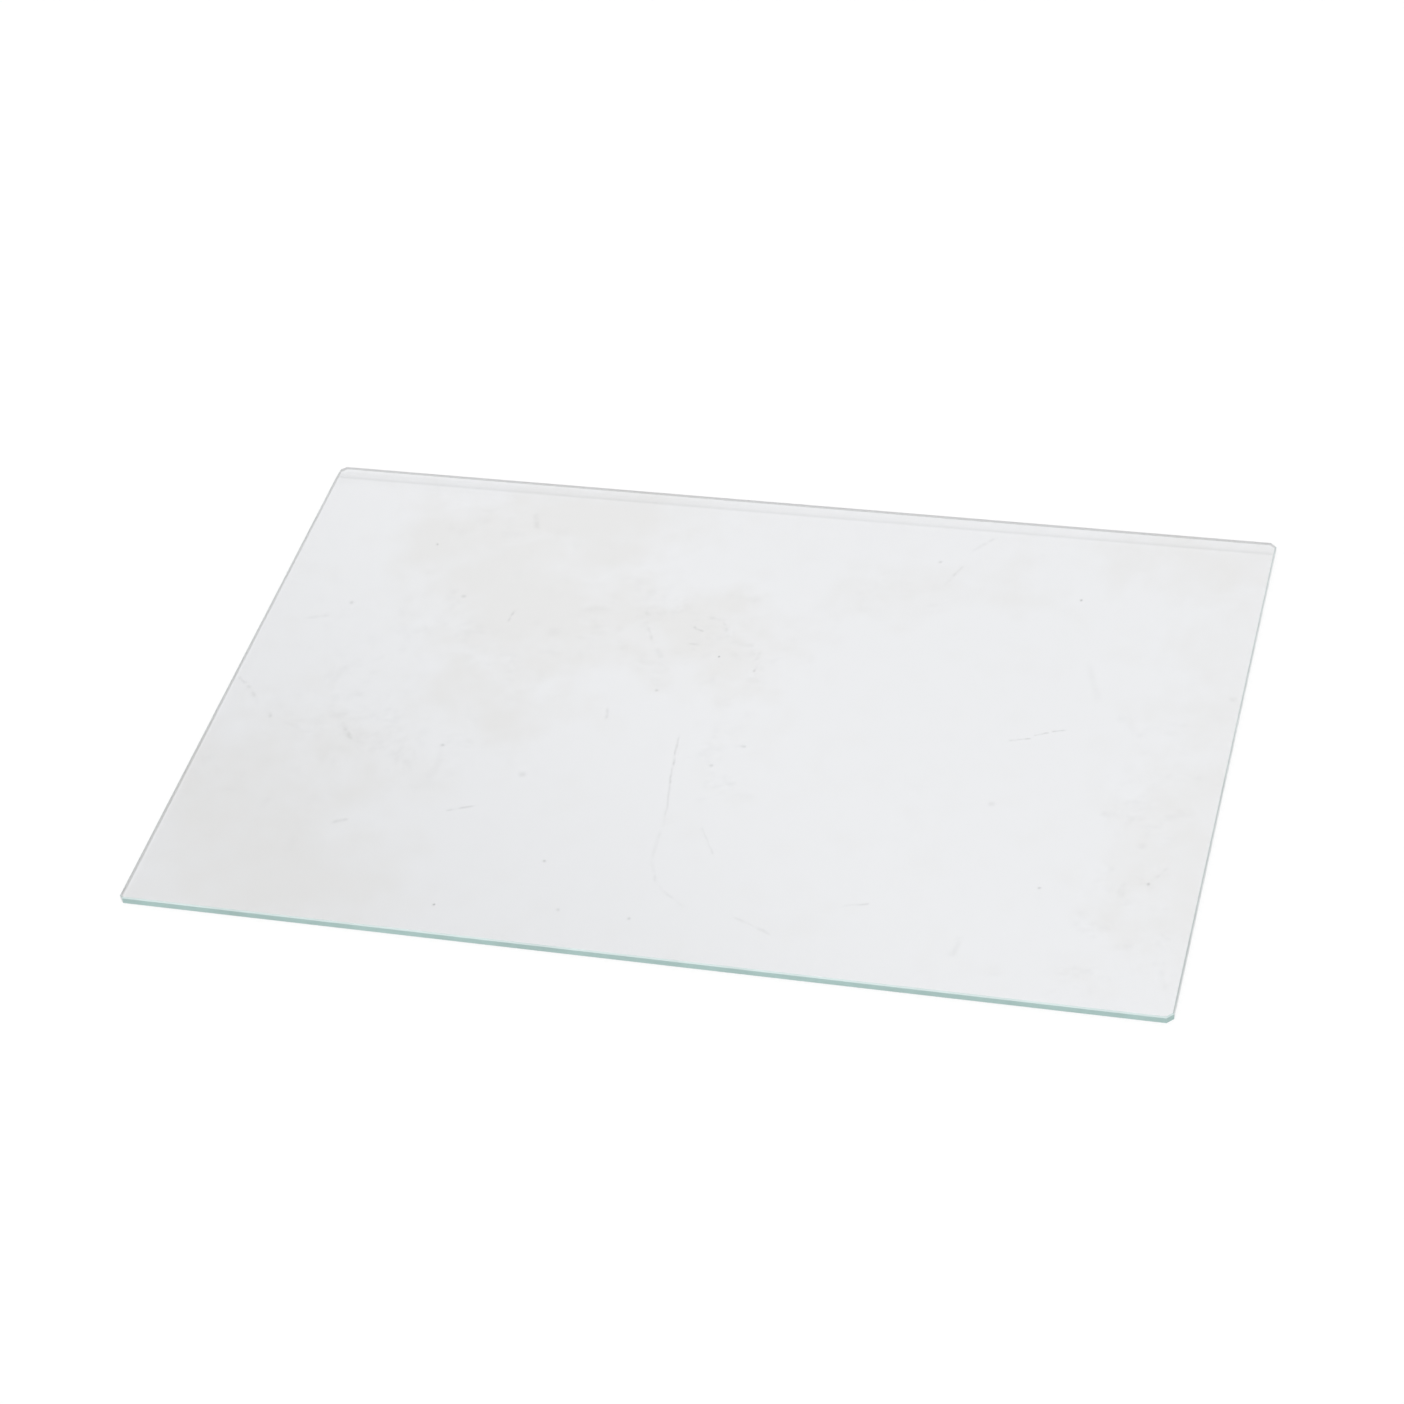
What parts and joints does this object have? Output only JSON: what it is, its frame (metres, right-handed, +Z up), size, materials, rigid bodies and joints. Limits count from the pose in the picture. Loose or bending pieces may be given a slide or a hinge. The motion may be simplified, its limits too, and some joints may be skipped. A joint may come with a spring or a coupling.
{
  "type": "fridge glass shelf",
  "caption": "Flat rectangular tempered-glass shelf pane for a refrigerator, with clipped corners, ground edges and a shallow bevel along the rear edge.",
  "frame": {"origin": "middle of the underside", "axes": "+X along the long front edge to the right, +Y from the front edge to the rear edge, +Z up through the pane"},
  "size_m": [0.47, 0.313, 0.004],
  "materials": {
    "glass": "polished faces, satin-ground edges"
  },
  "bodies": {
    "root": {"glass_pane": "glass"}
  },
  "joints": []
}
